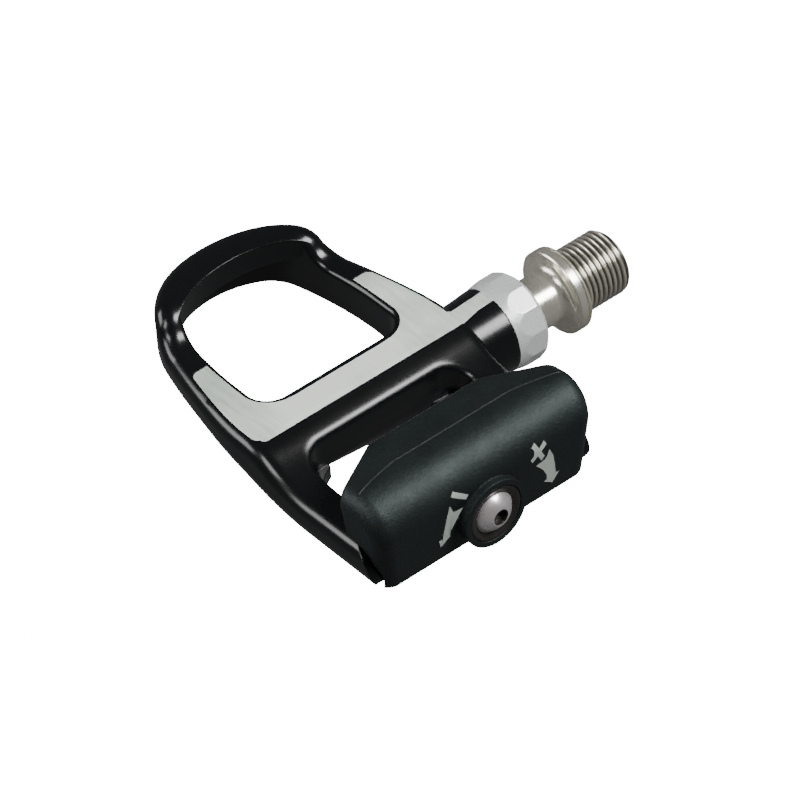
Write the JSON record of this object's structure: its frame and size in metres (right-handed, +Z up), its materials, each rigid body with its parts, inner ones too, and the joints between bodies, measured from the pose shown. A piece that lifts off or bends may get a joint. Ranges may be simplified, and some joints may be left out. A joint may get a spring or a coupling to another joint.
{
  "type": "bicycle pedal",
  "caption": "Single-sided clipless road pedal for a left crank: cast black body with hooked toe loop and milled top, sprung rear claw, steel axle in ball and needle bearings.",
  "frame": {"origin": "centre of the axle flange's face that seats on the crank", "axes": "+X along the axle towards the crank thread's free end, +Y to the toe, +Z up to the shoe"},
  "size_m": [0.0947, 0.0916, 0.0258],
  "materials": {
    "axle_steel": "polished turned steel",
    "bare_aluminium": "bare matte aluminium",
    "seal_rubber": "moulded black rubber",
    "bearing_steel": "ground bearing steel",
    "cage_brass": "pressed brass",
    "cage_plastic": "moulded natural nylon",
    "spring_steel": "zinc-plated steel",
    "body_paint": "black satin paint on cast aluminium, milled bare on top",
    "claw_plastic": "fine-grained black nylon",
    "screw_chrome": "bright chrome plate"
  },
  "bodies": {
    "axle": {"axle": "axle_steel", "ball_bearing_inner_ring": "bearing_steel", "retaining_ring": "spring_steel"},
    "pedal_body": {"pedal_body": "body_paint", "collar_nut": "bare_aluminium", "lip_seal": "seal_rubber", "ball_bearing_outer_ring": "bearing_steel", "ball_bearing_shields": "seal_rubber", "needle_bearing_shell": "bearing_steel", "hinge_pin": "spring_steel", "claw_spring_inboard": "spring_steel", "claw_spring_outboard": "spring_steel"},
    "ball_set": {"ball_bearing_balls": "bearing_steel", "ball_bearing_cage": "cage_brass"},
    "needle_set": {"needle_rollers": "bearing_steel", "needle_cage": "cage_plastic"},
    "claw": {"rear_claw": "claw_plastic", "screw_cup_washer": "screw_chrome"},
    "tension_screw": {"tension_screw": "screw_chrome"},
    "tension_nut": {"tension_nut": "spring_steel", "spring_plate": "spring_steel"}
  },
  "joints": [
    {"name": "body_spin", "type": "hinge", "parent": "axle", "child": "pedal_body", "pos_m": [0, 0, 0], "axis": [1, 0, 0], "continuous": true},
    {"name": "ball_roll", "type": "hinge", "parent": "axle", "child": "ball_set", "pos_m": [0, 0, 0], "axis": [1, 0, 0], "continuous": true},
    {"name": "needle_roll", "type": "hinge", "parent": "axle", "child": "needle_set", "pos_m": [0, 0, 0], "axis": [1, 0, 0], "continuous": true},
    {"name": "claw_hinge", "type": "hinge", "parent": "pedal_body", "child": "claw", "pos_m": [-0.0542, -0.0318, -0.0026], "axis": [1, 0, 0], "range_deg": [0, 18], "stiffness_Nm_per_rad": 6, "springref_deg": -20.05, "deforming": ["claw_spring_inboard", "claw_spring_outboard"]},
    {"name": "screw_turn", "type": "hinge", "parent": "claw", "child": "tension_screw", "pos_m": [-0.0542, -0.042, 0.0013], "axis": [0, 1, 0], "range_deg": [-720, 720]},
    {"name": "nut_slide", "type": "slide", "parent": "claw", "child": "tension_nut", "axis": [0, 1, 0], "range_m": [-0.0014, 0.0014], "deforming": ["claw_spring_inboard", "claw_spring_outboard"]}
  ],
  "couplings": [
    {"joint": "ball_roll", "follows": "body_spin", "ratio": 0.562},
    {"joint": "needle_roll", "follows": "body_spin", "ratio": 0.592},
    {"joint": "screw_turn", "follows": "nut_slide", "rad_per_m": -8975.9}
  ]
}
